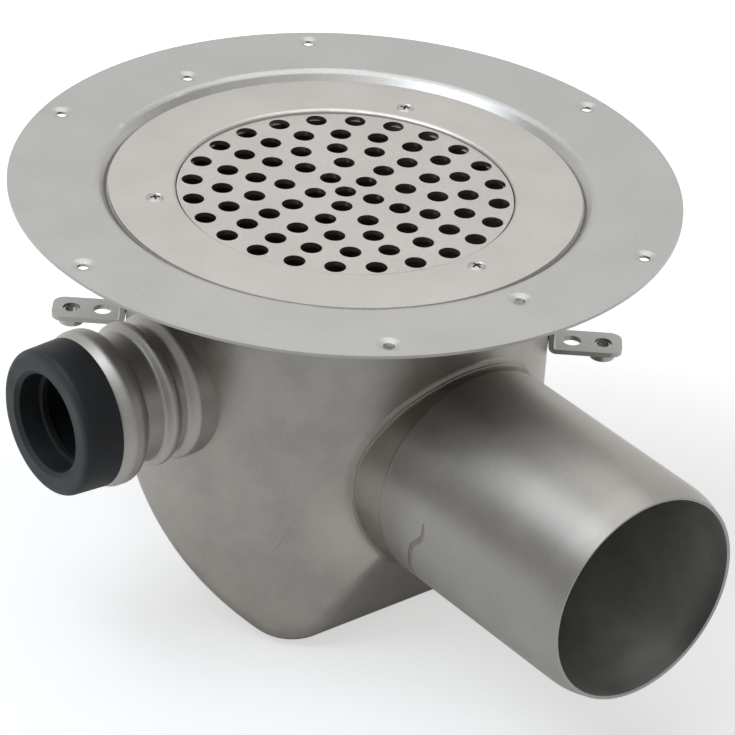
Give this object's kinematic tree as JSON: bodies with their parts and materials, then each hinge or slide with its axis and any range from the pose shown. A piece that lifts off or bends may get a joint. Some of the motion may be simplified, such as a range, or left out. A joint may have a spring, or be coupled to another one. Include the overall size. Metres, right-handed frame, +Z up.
{
  "type": "floor drain",
  "caption": "Stainless floor drain with a dished flange, clamp ring, round perforated grating, sloping bowl, plain side outlet pipe, beaded side inlet with rubber seal and lift-out trap.",
  "frame": {"origin": "centre of the flange's underside, the plane that lies on the subfloor", "axes": "+Z up out of the floor, +X along the outlet pipe, -Y along the inlet"},
  "size_m": [0.398, 0.3355, 0.2034],
  "materials": {
    "flange_steel": "satin pressed sheet",
    "ring_steel": "satin sheet",
    "screw_steel": "bright turned",
    "body_steel": "pickled matt sheet",
    "lug_steel": "pickled matt sheet",
    "seal_rubber": "moulded matt",
    "trap_plastic": "moulded matt"
  },
  "bodies": {
    "root": {"flange": "flange_steel", "clamp_ring": "ring_steel", "grating": "ring_steel", "clamp_screws": "screw_steel", "clamp_nuts": "screw_steel", "bowl": "body_steel", "outlet_pipe": "body_steel", "inlet_socket": "body_steel", "fixing_lug_right": "lug_steel", "fixing_lug_left": "lug_steel", "lug_nuts": "screw_steel", "inlet_seal": "seal_rubber", "trap_barrel": "trap_plastic", "trap_plug": "trap_plastic", "trap_leg": "trap_plastic", "trap_handle": "trap_plastic", "trap_ring": "seal_rubber"}
  },
  "joints": []
}
